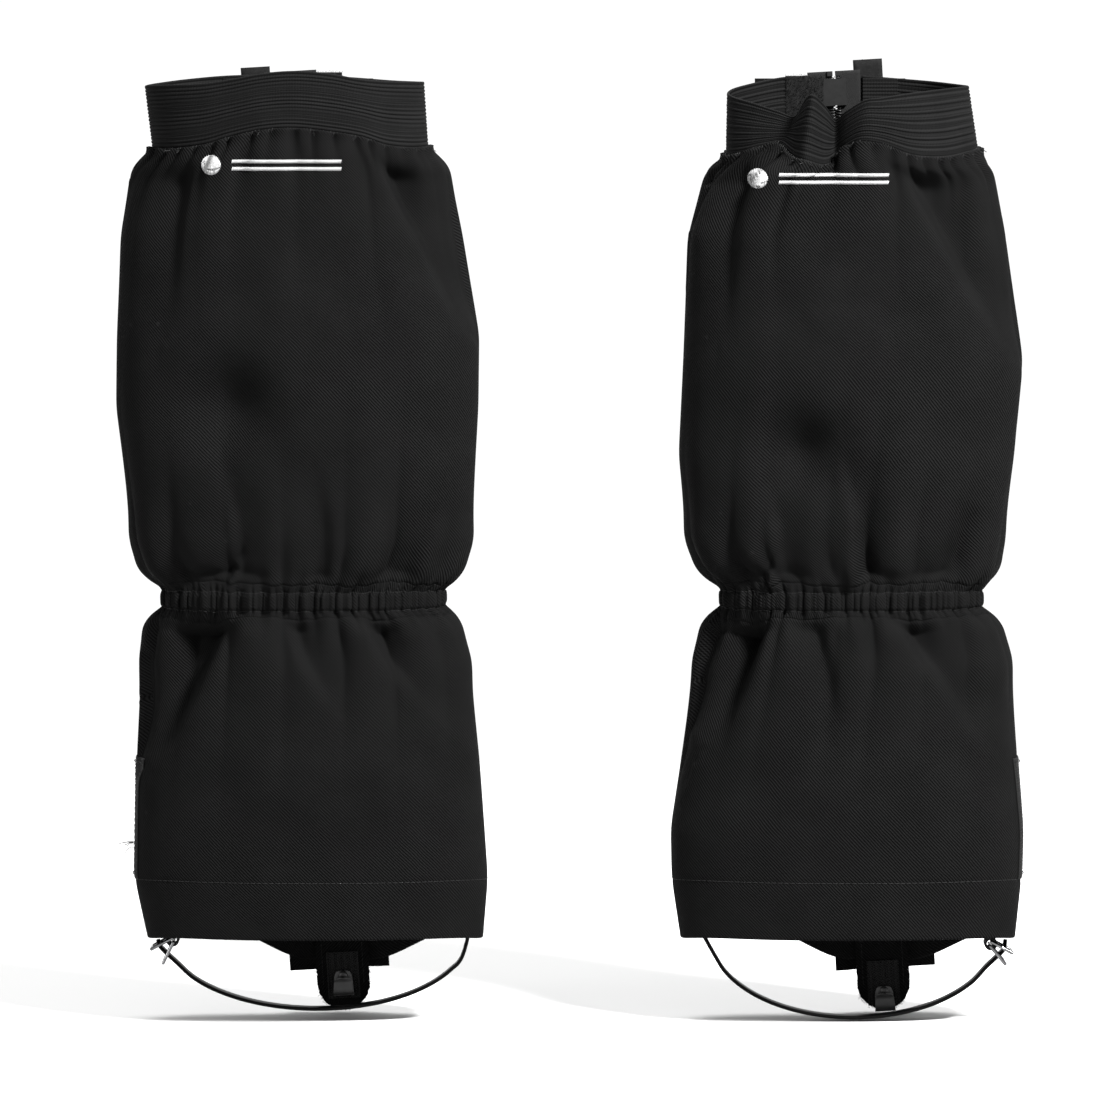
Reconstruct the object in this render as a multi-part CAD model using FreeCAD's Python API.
"""A pair of knee-high hiking gaiters, as worn: two gathered fabric tubes side by side.

Frame, in millimetres: +Z up the leg, -Y the calf side, +Y the side with the zip, X across the pair.
The origin is midway between the two legs, on the ground plane that the underfoot straps touch.
Each gaiter is built in its own x (0 on its middle line) and then moved out to its leg.
"u" is the distance from the zip line or middle line towards the outside of the pair, so the
closing gear is mirrored between the two gaiters while the soft outlines are each their own.
"""

import FreeCAD
import Part

import math
import os

# ---- the pair -------------------------------------------------------------------------------
LEG_SPACING = 284.0  # between the two gaiters' middle lines

# ---- levels up the gaiter -------------------------------------------------------------------
HEM_Z = 44.0  # lower edge of the fabric
FRONT_HEM_Z = 32.0  # it dips this low over the instep
HEM_STITCH_Z = 73.5
ANKLE_LOW_Z, ANKLE_HIGH_Z = 215.0, 226.0  # the gathering elastic
CUFF_LOW_Z, CUFF_HIGH_Z = 456.0, 491.5  # the ribbed elastic at the top

# ---- fabric ---------------------------------------------------------------------------------
FABRIC = 0.9
CUFF_THICK = 1.6
FACING = 0.7
ROOM = 0.2  # between a band's cut ends and the zip tape
TURNED_END = 1.4  # thickness of the cuff's turned-back ends
TURNED_INNER_U, TURNED_OUTER_U = -42.0, 36.0  # how far they reach from the zip line
GUARD_U, GUARD_LOW_Y, GUARD_HIGH_Y = -26.0, 31.7, 32.9
ZIP_FACE_Y = 36.0  # outer face of the flat strip that carries the zip
SIDES = 16  # facets round the tube
CALF_CURVE, ZIP_CURVE = 2.0, 4 / 3  # 2 is an ellipse; nearer 1 is squarer, so flatter in front

# Each outline level: height, leftmost x, rightmost x, depth of the calf side.
LEFT_OUTLINE = (
    (HEM_Z, -82.0, 93.5, 38),
    (HEM_STITCH_Z, -88.5, 96.0, 40),
    (135, -87.0, 91.5, 42),
    (188, -83.0, 86.0, 38),
    (ANKLE_LOW_Z, -71.5, 71.5, 31),
    (ANKLE_HIGH_Z, -72.0, 71.5, 31),
    (251, -87.5, 86.5, 38),
    (320, -97.0, 91.0, 43),
    (357, -96.5, 91.5, 43),
    (409, -94.0, 82.0, 41),
    (446, -86.5, 73.5, 37),
    (CUFF_LOW_Z, -77.5, 65.0, 33),
    (CUFF_HIGH_Z, -81.0, 62.5, 31),
)
RIGHT_OUTLINE = (
    (HEM_Z, -88.0, 87.0, 38),
    (HEM_STITCH_Z, -92.5, 90.0, 40),
    (100, -93.0, 90.5, 42),
    (188, -79.0, 83.0, 38),
    (ANKLE_LOW_Z, -64.5, 67.0, 31),
    (ANKLE_HIGH_Z, -65.0, 67.0, 31),
    (251, -83.0, 78.5, 38),
    (295, -88.5, 85.5, 42),
    (345, -86.5, 90.0, 43),
    (409, -84.5, 80.5, 41),
    (446, -73.0, 71.0, 37),
    (CUFF_LOW_Z, -64.0, 65.5, 33),
    (CUFF_HIGH_Z, -63.5, 60.5, 31),
)

# ---- zip ------------------------------------------------------------------------------------
ZIP_TILT = 3.27  # degrees; the line leans to -X as it rises
ZIP_GROUND_X = 20.5  # where that line would meet the ground plane
GAP_HALF = 9.0  # the fabric stops this far from the zip line
TAPE_EDGE = 14.0
TAPE_LOW_Y, TAPE_HIGH_Y = 34.4, 35.1
COIL_IN, COIL_OUT = 0.65, 3.4
COIL_LOW_Y, COIL_HIGH_Y = 33.55, 35.95
ZIP_LOW_W, ZIP_HIGH_W = 44.0, 495.0
BOX_HIGH_W = 51.0
STOP_LOW_W, STOP_HIGH_W = 492.0, 494.5
SLIDER_W = 483.5  # the slider's middle when the zip is closed
SLIDER_HALF_U, SLIDER_HALF_W = 6.0, 7.0
PLATE = 1.2
RUNNING = 0.2  # clearance round the coil and tape
BAIL_HALF_U, BAIL_END_W, BAIL_POST = 1.1, 4.5, 1.2
PULL_Y = 38.25  # axis of the pull's crossbar
PULL_AXIS_W = SLIDER_W - 1.6
PULL_BAR_R = 0.7
PULL_HALF_U, PULL_LENGTH, PULL_HALF_Y = 3.4, 26.0, 0.6

# ---- embroidered mark, from its own centre ----------------------------------------------------
MARK_DISC_X, MARK_DISC_R = -31.0, 5.0
MARK_BAR_LOW_X, MARK_BAR_HIGH_X, MARK_BAR_HALF_Z = -20.0, 36.0, 3.0
MARK_THICK = 0.6

# ---- storm flap and hook-and-loop -------------------------------------------------------------
FLAP_LOW_W, FLAP_HIGH_W = 22.0, 453.0
FLAP_HINGE_U, FLAP_HINGE_Y = -16.6, 37.4
FLAP_FREE_U = 28.0
FLAP_THICK = 1.4
FLAP_BULGE_Y = 40.4  # inner face over the slider's path
FLAP_FLAT_Y = 39.0  # inner face at the hook strip
STRIP_LOW_U, STRIP_HIGH_U = 10.0, 26.0
LOOP_THICK, HOOK_THICK = 1.4, 1.4
STRIP_LOW_W, HOOK_HIGH_W, LOOP_HIGH_W = 46.0, 449.0, 501.0
SEAM_LOW_U, SEAM_HIGH_U, SEAM_THICK = -24.5, -18.4, 0.8

# ---- lace tab ---------------------------------------------------------------------------------
TAB_HALF_U, TAB_HIGH_W, TAB_LOW_W = 13.8, 42.0, 1.0
TAB_LOW_Y, TAB_HIGH_Y = 31.4, 32.9
WEBBING_HALF_U, WEBBING_THICK = 8.5, 1.6
HOOK_HALF_U, HOOK_PLATE, HOOK_REACH = 5.6, 1.2, 7.2
HOOK_BACK, HOOK_FRONT = 13.0, 10.0  # heights of the J's two legs
EAR_GAP_HALF_U, EAR_GAP_LOW, EAR_GAP_HIGH = 2.8, 8.0, 11.0

# ---- underfoot strap and buckle ---------------------------------------------------------------
STRAP_WIDTH, STRAP_THICK = 10.0, 2.0
STRAP_END_ROOM = 2.2  # the wall curves in beside the strap's end
PIVOT_Z = 52.0  # the strap and its buckle swing about this height
PIVOT_GAP = 0.35  # between the swinging ends and the sewn webbing beside them
ANCHOR_THICK, ANCHOR_HALF_Y, ANCHOR_HIGH_Z = 1.3, 6.5, 70.0
WIRE_R = 0.9
RING_LENGTH, RING_HALF_Y = 12.0, 7.1
LOOP_HALF_Y, LOOP_CAVITY_R, LOOP_WALL, LOOP_HALF_STEM = 5.8, 2.2, 1.2, 1.3
PATCH_LOW_Z, PATCH_HIGH_Z, PATCH_HALF_Y, PATCH_THICK = 74.0, 138.0, 11.0, 1.2

GAITERS = (
    {
        "name": "left",
        "out": -1,
        "outline": LEFT_OUTLINE,
        "mark": (-15.0, 446.0),
        "hook_w": 9.5,
        "webbing_w": (6.5, 32.0),
        "buckle": (68.5, 42.0),
        "ring_angles": (-28.0, -64.0),
        "strap_in": -85.5,
        "strap_low_z": 4.5,
    },
    {
        "name": "right",
        "out": 1,
        "outline": RIGHT_OUTLINE,
        "mark": (-18.0, 439.0),
        "hook_w": 1.2,
        "webbing_w": (3.0, 27.5),
        "buckle": (74.0, 40.0),
        "ring_angles": (-28.0, -50.0),
        "strap_in": -72.0,
        "strap_low_z": 0.0,
    },
)


def vec(x, y, z):
    return FreeCAD.Vector(x, y, z)


def box(x0, x1, y0, y1, z0, z1):
    low, high = sorted((x0, x1))
    return Part.makeBox(high - low, y1 - y0, z1 - z0, vec(low, y0, z0))


def prism_y(points, y0, y1):
    """A solid from a closed outline of (x, z) points, pulled from y0 to y1."""
    wire = Part.makePolygon([vec(x, y0, z) for x, z in [*points, points[0]]])
    return Part.Face(wire).extrude(vec(0, y1 - y0, 0))


# ---- the faceted tube -------------------------------------------------------------------------
def zip_x(z):
    """x of the zip line at height z, in a gaiter's own frame."""
    return ZIP_GROUND_X - z * math.tan(math.radians(ZIP_TILT))


def corners(level, inset):
    """The facet corners at one outline level, moved inwards by inset."""
    _, left, right, depth = level
    middle, half = (left + right) / 2, (right - left) / 2
    step = 2 * math.pi / SIDES
    reach = []
    for k in range(SIDES):
        c, s = math.cos(k * step), math.sin(k * step)
        curve, reach_y = (ZIP_CURVE, ZIP_FACE_Y) if s > 0 else (CALF_CURVE, depth)
        d = (abs(half * c) ** curve + abs(reach_y * s) ** curve) ** (1 / curve)
        reach.append(d + middle * c - inset)
    points = []
    for k in range(SIDES):
        n = (k + 1) % SIDES
        a, b = k * step, (k + 1) * step
        x = (reach[k] * math.sin(b) - reach[n] * math.sin(a)) / math.sin(step)
        y = (reach[n] * math.cos(a) - reach[k] * math.cos(b)) / math.sin(step)
        points.append((x, y))
    return points


def section(outline, z, inset):
    """The tube's corners at height z. Every facet keeps its direction at all heights, so the
    faces between two levels are flat."""
    if z <= outline[0][0]:
        return corners(outline[0], inset)
    for low, high in zip(outline, outline[1:]):
        if z <= high[0]:
            t = (z - low[0]) / (high[0] - low[0])
            pairs = zip(corners(low, inset), corners(high, inset))
            return [(a[0] + (b[0] - a[0]) * t, a[1] + (b[1] - a[1]) * t) for a, b in pairs]
    return corners(outline[-1], inset)


def side_reach(g, z, side):
    """u of the tube's outer face at height z, on the outer (1) or inner (-1) side of the leg."""
    xs = [x * g["out"] for x, _ in section(g["outline"], z, 0)]
    return max(xs) if side > 0 else min(xs)


def tube(outline, low, high, outer_inset, inner_inset):
    """The closed wall of the tube between two heights and two insets."""
    heights = [low, *[level[0] for level in outline if low < level[0] < high], high]

    def solid(inset, past_ends):
        rows = [[vec(x, y, z) for x, y in section(outline, z, inset)] for z in heights]
        if past_ends:
            rows.insert(0, [point - vec(0, 0, past_ends) for point in rows[0]])
            rows.append([point + vec(0, 0, past_ends) for point in rows[-1]])
        faces = [Part.Face(Part.makePolygon([*rows[0], rows[0][0]]))]
        faces.append(Part.Face(Part.makePolygon([*rows[-1], rows[-1][0]])))
        for lower, upper in zip(rows, rows[1:]):
            for k in range(SIDES):
                n = (k + 1) % SIDES
                quad = [lower[k], lower[n], upper[n], upper[k], lower[k]]
                faces.append(Part.Face(Part.makePolygon(quad)))
        skin = Part.makeShell(faces)
        skin.sewShape()
        made = Part.makeSolid(skin)
        if made.Volume < 0:
            made.reverse()
        return made

    return solid(outer_inset, 0).cut(solid(inner_inset, 5))


# ---- the zip's own frame ------------------------------------------------------------------------
def on_zip(shape):
    """Moves a shape made in zip coordinates (x across, y, z along) onto the leaning zip line."""
    turn = FreeCAD.Rotation(vec(0, 1, 0), -ZIP_TILT)
    shape.Placement = FreeCAD.Placement(vec(ZIP_GROUND_X, 0, 0), turn).multiply(shape.Placement)
    return shape


def zip_box(g, u0, u1, y0, y1, w0, w1):
    return on_zip(box(g["out"] * u0, g["out"] * u1, y0, y1, w0, w1))


def zip_gap(half):
    return on_zip(box(-half, half, 20, 60, -20, 520))


# ---- soft shell ---------------------------------------------------------------------------------
def make_shell(g):
    """The main fabric tube, open along the zip, with the hem dipping over the instep. Its upper and
    lower panels meet under the ankle elastic."""
    wall = tube(g["outline"], FRONT_HEM_Z, CUFF_LOW_Z, 0, FABRIC)
    _, left, right, _ = g["outline"][0]
    middle = zip_x(FRONT_HEM_Z)
    dip = [
        (left - 20, HEM_Z),
        (left + 12, HEM_Z),
        (middle - TAB_HALF_U - 4, FRONT_HEM_Z),
        (middle + TAB_HALF_U + 4, FRONT_HEM_Z),
        (right - 12, HEM_Z),
        (right + 20, HEM_Z),
        (right + 20, 0),
        (left - 20, 0),
    ]
    wall = wall.cut(prism_y(dip, 0, 80)).cut(box(left - 20, right + 20, -80, 0, 0, HEM_Z))
    wall = wall.cut(zip_gap(GAP_HALF))
    seam = (ANKLE_LOW_Z + ANKLE_HIGH_Z) / 2
    lower = wall.common(box(left - 60, right + 60, -80, 80, 0, seam))
    upper = wall.common(box(left - 60, right + 60, -80, 80, seam, CUFF_LOW_Z))
    return Part.makeCompound([lower, upper])


def make_cuff(g):
    return tube(g["outline"], CUFF_LOW_Z, CUFF_HIGH_Z, 0, CUFF_THICK).cut(zip_gap(TAPE_EDGE + ROOM))


def cuff_facing(g, u0, u1):
    """A turned-back end of the cuff elastic, beside the zip."""
    inner = CUFF_THICK + TURNED_END
    band = tube(g["outline"], CUFF_LOW_Z + 1, CUFF_HIGH_Z - 1, CUFF_THICK, inner)
    return band.common(zip_box(g, u0, u1, 20, 60, 440, 510))


def make_cuff_guard(g):
    """The brushed patch that keeps the zip's end off the leg."""
    near = -SLIDER_HALF_U - 0.6
    low, high = CUFF_LOW_Z + 3, CUFF_HIGH_Z + 1.5
    return zip_box(g, GUARD_U, near, GUARD_LOW_Y, GUARD_HIGH_Y, low, high)


def make_ankle_elastic(g):
    band = tube(g["outline"], ANKLE_LOW_Z, ANKLE_HIGH_Z, FABRIC + 0.1, FABRIC + 1.1)
    return band.cut(zip_gap(TAPE_EDGE + ROOM))


def make_hem_facing(g):
    band = tube(g["outline"], HEM_Z, HEM_STITCH_Z, FABRIC, FABRIC + FACING)
    return band.cut(zip_gap(TAPE_EDGE + ROOM))


def make_side_patch(g):
    """The stay patch sewn over the buckle's anchorage, on the outer side of the leg."""
    band = tube(g["outline"], PATCH_LOW_Z, PATCH_HIGH_Z, -PATCH_THICK, 0)
    return band.common(box(0, g["out"] * 140, -PATCH_HALF_Y, PATCH_HALF_Y, 0, 500))


def make_mark(g):
    """A plain embroidered disc and bar on the calf side, just under the cuff."""
    x, z = g["mark"]
    skin = tube(g["outline"], z - 12, z + 9.5, -MARK_THICK, 0)
    disc = Part.makeCylinder(MARK_DISC_R, 90, vec(x + MARK_DISC_X, -90, z), vec(0, 1, 0))
    left, right, half = x + MARK_BAR_LOW_X, x + MARK_BAR_HIGH_X, MARK_BAR_HALF_Z
    bar = box(left, right, -90, 0, z - half, z + half)
    return Part.makeCompound([skin.common(disc), skin.common(bar)])


# ---- zip ----------------------------------------------------------------------------------------
def make_tape(g, side):
    tape = zip_box(g, side * COIL_OUT, side * TAPE_EDGE, TAPE_LOW_Y, TAPE_HIGH_Y, ZIP_LOW_W, ZIP_HIGH_W)
    return tape.cut(on_zip(box(-4.4, 4.4, 30, 40, ZIP_LOW_W - 1, BOX_HIGH_W)))


def make_coil(g, side):
    return zip_box(
        g, side * COIL_IN, side * COIL_OUT, COIL_LOW_Y, COIL_HIGH_Y, BOX_HIGH_W, STOP_LOW_W
    )


def make_top_stops(g):
    stops = [
        zip_box(g, side * COIL_IN, side * COIL_OUT, 33.3, 36.2, STOP_LOW_W, STOP_HIGH_W)
        for side in (-1, 1)
    ]
    return Part.makeCompound(stops)


def make_bottom_box(g):
    """The separating zip's pin and box."""
    return on_zip(box(-4.3, 4.3, 33.2, 36.6, ZIP_LOW_W, BOX_HIGH_W))


def make_slider(g):
    half_u, half_w = SLIDER_HALF_U, SLIDER_HALF_W
    low, high = COIL_LOW_Y - RUNNING, COIL_HIGH_Y + RUNNING
    body = box(-half_u, half_u, low - PLATE, high + PLATE, SLIDER_W - half_w, SLIDER_W + half_w)
    channel = COIL_OUT + 1.0
    ends = (SLIDER_W - half_w - 1, SLIDER_W + half_w + 1)
    slot = box(-half_u - 1, half_u + 1, TAPE_LOW_Y - RUNNING, TAPE_HIGH_Y + RUNNING, *ends)
    web = box(-0.45, 0.45, low - 0.1, high + 0.1, *ends)
    hollow = box(-channel, channel, low, high, *ends).fuse(slot).cut(web)
    body = body.cut(hollow)
    face = high + PLATE
    top = PULL_Y + PULL_BAR_R + 0.15
    for end in (-1, 1):
        post = sorted((SLIDER_W + end * BAIL_END_W, SLIDER_W + end * (BAIL_END_W - BAIL_POST)))
        body = body.fuse(box(-BAIL_HALF_U, BAIL_HALF_U, face, top, *post))
    bar = box(
        -BAIL_HALF_U, BAIL_HALF_U, top, top + 0.9, SLIDER_W - BAIL_END_W, SLIDER_W + BAIL_END_W
    )
    return on_zip(body.fuse(bar).removeSplitter())


def make_pull(g):
    """A flat pull hanging from the slider's bail, with a crossbar that turns in it."""
    low_y, high_y = PULL_Y - PULL_HALF_Y, PULL_Y + PULL_HALF_Y
    end = PULL_AXIS_W - PULL_LENGTH
    plate = box(-PULL_HALF_U, PULL_HALF_U, low_y, high_y, end, PULL_AXIS_W + 0.7)
    window = box(-1.5, 1.5, low_y - 1, high_y + 1, PULL_AXIS_W - 7.4, PULL_AXIS_W + 2)
    bar = Part.makeCylinder(PULL_BAR_R - 0.1, 4, vec(-2, PULL_Y, PULL_AXIS_W), vec(1, 0, 0))
    grip = Part.makeCylinder(1.8, 10, vec(0, 30, end + 3.4), vec(0, 1, 0))
    return on_zip(plate.cut(window).cut(grip.common(plate)).fuse(bar).removeSplitter())


# ---- storm flap -----------------------------------------------------------------------------------
def make_flap(g):
    """The flap, bulged over the slider's path and flat where its hook strip is sewn."""
    inner = [
        (FLAP_HINGE_U + 0.2, FLAP_HINGE_Y - 0.5),
        (-11, FLAP_BULGE_Y),
        (7, FLAP_BULGE_Y),
        (STRIP_LOW_U - 0.4, FLAP_FLAT_Y),
        (FLAP_FREE_U, FLAP_FLAT_Y),
    ]
    outer = [
        (FLAP_FREE_U, FLAP_FLAT_Y + FLAP_THICK),
        (STRIP_LOW_U + 0.2, FLAP_FLAT_Y + FLAP_THICK),
        (7.6, FLAP_BULGE_Y + FLAP_THICK),
        (-11.7, FLAP_BULGE_Y + FLAP_THICK),
        (FLAP_HINGE_U - 0.6, FLAP_HINGE_Y + 0.3),
    ]
    points = [vec(g["out"] * u, y, FLAP_LOW_W) for u, y in [*inner, *outer, inner[0]]]
    face = Part.Face(Part.makePolygon(points))
    return on_zip(face.extrude(vec(0, 0, FLAP_HIGH_W - FLAP_LOW_W)))


def make_hook_strip(g):
    low_y = FLAP_FLAT_Y - HOOK_THICK
    return zip_box(g, STRIP_LOW_U, STRIP_HIGH_U, low_y, FLAP_FLAT_Y, STRIP_LOW_W, HOOK_HIGH_W)


def make_loop_strip(g):
    top = ZIP_FACE_Y + LOOP_THICK
    return zip_box(g, STRIP_LOW_U, STRIP_HIGH_U, ZIP_FACE_Y, top, STRIP_LOW_W, LOOP_HIGH_W)


def make_flap_seam(g):
    top = ZIP_FACE_Y + SEAM_THICK
    return zip_box(g, SEAM_LOW_U, SEAM_HIGH_U, ZIP_FACE_Y, top, ZIP_LOW_W, FLAP_HIGH_W)


# ---- lace tab ---------------------------------------------------------------------------------------
def make_tab(g):
    r = TAB_HALF_U
    round_end = Part.makeCylinder(
        r, TAB_HIGH_Y - TAB_LOW_Y, vec(0, TAB_LOW_Y, TAB_LOW_W + r), vec(0, 1, 0)
    )
    plate = box(-r, r, TAB_LOW_Y, TAB_HIGH_Y, TAB_LOW_W + r, TAB_HIGH_W)
    return on_zip(plate.fuse(round_end).removeSplitter())


def make_tab_webbing(g):
    low_w, high_w = g["webbing_w"]
    return zip_box(
        g, -WEBBING_HALF_U, WEBBING_HALF_U, TAB_LOW_Y - WEBBING_THICK, TAB_LOW_Y, low_w, high_w
    )


def make_lace_hook(g):
    """A plate folded into a J that faces the laces, held on the webbing by two ears."""
    back = TAB_LOW_Y - WEBBING_THICK
    low = g["hook_w"]
    profile = [
        (back, low + HOOK_BACK),
        (back, low),
        (back - HOOK_REACH, low),
        (back - HOOK_REACH, low + HOOK_FRONT),
        (back - HOOK_REACH + HOOK_PLATE, low + HOOK_FRONT),
        (back - HOOK_REACH + HOOK_PLATE, low + HOOK_PLATE),
        (back - HOOK_PLATE, low + HOOK_PLATE),
        (back - HOOK_PLATE, low + HOOK_BACK),
    ]
    points = [vec(-HOOK_HALF_U, y, w) for y, w in [*profile, profile[0]]]
    hook = Part.Face(Part.makePolygon(points)).extrude(vec(2 * HOOK_HALF_U, 0, 0))
    ear = EAR_GAP_HALF_U
    ends = (low + EAR_GAP_LOW, low + EAR_GAP_HIGH)
    notch = box(-ear, ear, back - HOOK_PLATE - 1, back + 1, *ends)
    return on_zip(hook.cut(notch))


# ---- underfoot strap and buckle -----------------------------------------------------------------------
def strap_end_u(g):
    """u of the strap's middle line where it hangs beside its sewn webbing."""
    lining = FABRIC + FACING + ANCHOR_THICK + PIVOT_GAP + STRAP_THICK / 2
    return side_reach(g, PIVOT_Z, -1) + lining + STRAP_END_ROOM


def strap_line(g):
    """The strap's middle line as (u, z) points, from its free tail, down through the buckle and
    round under the foot to its sewn end."""
    bu, bz = g["buckle"]
    u_in, low = g["strap_in"], g["strap_low_z"] + STRAP_THICK / 2
    u_out = bu + 3.5
    middle, half, drop = (u_out + u_in) / 2, (u_out - u_in) / 2, HEM_Z - low
    line = [(bu + 7.8, HEM_Z - 2.2), (bu + 7.2, bz - 2.5), (bu + 5.2, bz - 5.4)]
    for degrees in range(22, 170, 13):
        t = math.radians(degrees)
        line.append((middle + half * math.cos(t), HEM_Z - drop * math.sin(t)))
    end = strap_end_u(g)
    line.append(((end + u_in) / 2 - 0.5, HEM_Z - 1))
    line.append((end, PIVOT_Z + STRAP_WIDTH / 2))
    return line


def make_strap(g):
    """A moulded strap, a ribbon of constant thickness across the foot."""
    spine = Part.BSplineCurve()
    spine.interpolate([vec(g["out"] * u, 0, z) for u, z in strap_line(g)])
    steps = 48
    first, last = spine.FirstParameter, spine.LastParameter
    sides = {1: [], -1: []}
    for i in range(steps + 1):
        t = first + (last - first) * i / steps
        along = spine.tangent(t)[0]
        across = vec(-along.z, 0, along.x) * (STRAP_THICK / 2)
        for side in sides:
            sides[side].append(spine.value(t) + across * side)
    edges = []
    for side in sides:
        curve = Part.BSplineCurve()
        curve.interpolate(sides[side])
        edges.append(curve.toShape())
    for end in (0, -1):
        edges.append(Part.makeLine(sides[1][end], sides[-1][end]))
    face = Part.Face(Part.Wire(Part.__sortEdges__(edges)))
    ribbon = face.extrude(vec(0, STRAP_WIDTH, 0))
    ribbon.translate(vec(0, -STRAP_WIDTH / 2, 0))
    end = g["out"] * strap_end_u(g)
    return ribbon.cut(above_pivot(end, STRAP_WIDTH / 2, 4.0))


def above_pivot(x, radius, reach):
    """What is cut off a swinging end to leave it round about the pivot."""
    low, high = x - reach, x + reach
    blank = box(low, high, -radius - 1, radius + 1, PIVOT_Z, PIVOT_Z + radius + 3)
    return blank.cut(Part.makeCylinder(radius, high - low, vec(low, 0, PIVOT_Z), vec(1, 0, 0)))


def make_strap_anchor(g):
    """The webbing sewn inside the hem, beside the strap's end."""
    lining = FABRIC + FACING
    band = tube(g["outline"], HEM_Z + 1, ANCHOR_HIGH_Z, lining, lining + ANCHOR_THICK)
    half = ANCHOR_HALF_Y
    return band.common(box(0, -g["out"] * 140, -half, half, 0, 200))


def make_buckle_anchor(g):
    """The webbing sewn inside the hem on the outer side, which comes down beside the buckle."""
    bu = g["buckle"][0] + LOOP_HALF_STEM + PIVOT_GAP
    wall_low, wall_high = (
        side_reach(g, z, 1) - FABRIC - FACING - 1.3 for z in (PIVOT_Z + 12, ANCHOR_HIGH_Z)
    )
    t = ANCHOR_THICK
    outline = [
        (bu, PIVOT_Z - 3),
        (bu, PIVOT_Z + 2),
        (wall_low - t, PIVOT_Z + 12),
        (wall_high - t, ANCHOR_HIGH_Z),
        (wall_high, ANCHOR_HIGH_Z),
        (wall_low, PIVOT_Z + 12),
        (bu + t, PIVOT_Z + 2),
        (bu + t, PIVOT_Z - 3),
    ]
    points = [(g["out"] * u, z) for u, z in outline]
    return prism_y(points, -LOOP_HALF_Y, LOOP_HALF_Y)


def bar_centres(g):
    """(u, z) of the two rings' captured bars, one over the other in the webbing loop."""
    bu, bz = g["buckle"]
    return ((bu + 0.35, bz + 1.12), (bu - 0.35, bz - 1.12))


def make_buckle_loop(g):
    """The webbing that hangs at the hem and folds round both rings' bars."""
    bu, bz = g["buckle"]
    outer = LOOP_CAVITY_R + LOOP_WALL
    x, y, half = g["out"] * bu, LOOP_HALF_Y, LOOP_HALF_STEM
    at, along = vec(x, -y, bz), vec(0, 1, 0)
    stem = box(x - half, x + half, -y, y, bz, PIVOT_Z + y)
    loop = Part.makeCylinder(outer, 2 * y, at, along).fuse(stem)
    loop = loop.cut(Part.makeCylinder(LOOP_CAVITY_R, 2 * y, at, along))
    return loop.cut(above_pivot(x, y, 4.0)).removeSplitter()


def make_ring(g, which):
    """A rectangular ring of round wire, its captured bar along Y."""
    (bu, bz), angle = bar_centres(g)[which], g["ring_angles"][which]
    half, length = RING_HALF_Y, RING_LENGTH

    def rod(start, direction, size):
        return Part.makeCylinder(WIRE_R, size, start, direction)

    ring = rod(vec(0, -half, 0), vec(0, 1, 0), 2 * half)
    ring = ring.fuse(rod(vec(length, -half, 0), vec(0, 1, 0), 2 * half))
    for side in (-half, half):
        ring = ring.fuse(rod(vec(0, side, 0), vec(1, 0, 0), length))
        for end in (0, length):
            ring = ring.fuse(Part.makeSphere(WIRE_R, vec(end, side, 0)))
    ring = ring.removeSplitter()
    ring.rotate(vec(0, 0, 0), vec(0, 1, 0), -angle)
    ring.translate(vec(bu, 0, bz))
    if g["out"] < 0:
        ring = ring.mirror(vec(0, 0, 0), vec(1, 0, 0))
    return ring


def gaiter(g):
    """Every piece of one gaiter by name, in the gaiter's own frame."""
    return {
        "shell": make_shell(g),
        "cuff": make_cuff(g),
        "cuff_facing_inner": cuff_facing(g, TURNED_INNER_U, -TAPE_EDGE - ROOM),
        "cuff_facing_outer": cuff_facing(g, TAPE_EDGE + ROOM, TURNED_OUTER_U),
        "cuff_guard": make_cuff_guard(g),
        "ankle_elastic": make_ankle_elastic(g),
        "hem_facing": make_hem_facing(g),
        "side_patch": make_side_patch(g),
        "embroidered_mark": make_mark(g),
        "zip_tape_inner": make_tape(g, -1),
        "zip_tape_outer": make_tape(g, 1),
        "zip_coil_inner": make_coil(g, -1),
        "zip_coil_outer": make_coil(g, 1),
        "zip_top_stops": make_top_stops(g),
        "zip_bottom_box": make_bottom_box(g),
        "zip_slider": make_slider(g),
        "zip_pull": make_pull(g),
        "storm_flap": make_flap(g),
        "flap_hook_strip": make_hook_strip(g),
        "flap_loop_strip": make_loop_strip(g),
        "flap_seam_tape": make_flap_seam(g),
        "lace_tab": make_tab(g),
        "lace_tab_webbing": make_tab_webbing(g),
        "lace_hook": make_lace_hook(g),
        "underfoot_strap": make_strap(g),
        "strap_anchor": make_strap_anchor(g),
        "buckle_anchor": make_buckle_anchor(g),
        "buckle_loop": make_buckle_loop(g),
        "buckle_ring_upper": make_ring(g, 0),
        "buckle_ring_lower": make_ring(g, 1),
    }


os.makedirs("parts", exist_ok=True)
for g in GAITERS:
    for name, shape in gaiter(g).items():
        shape.translate(vec(g["out"] * LEG_SPACING / 2, 0, 0))
        if not shape.isValid() or shape.Volume <= 0 or not shape.Solids:
            print("bad solid", g["name"], name, shape.ShapeType, shape.Volume)
        shape.exportStep(f"parts/{g['name']}_{name}.step")
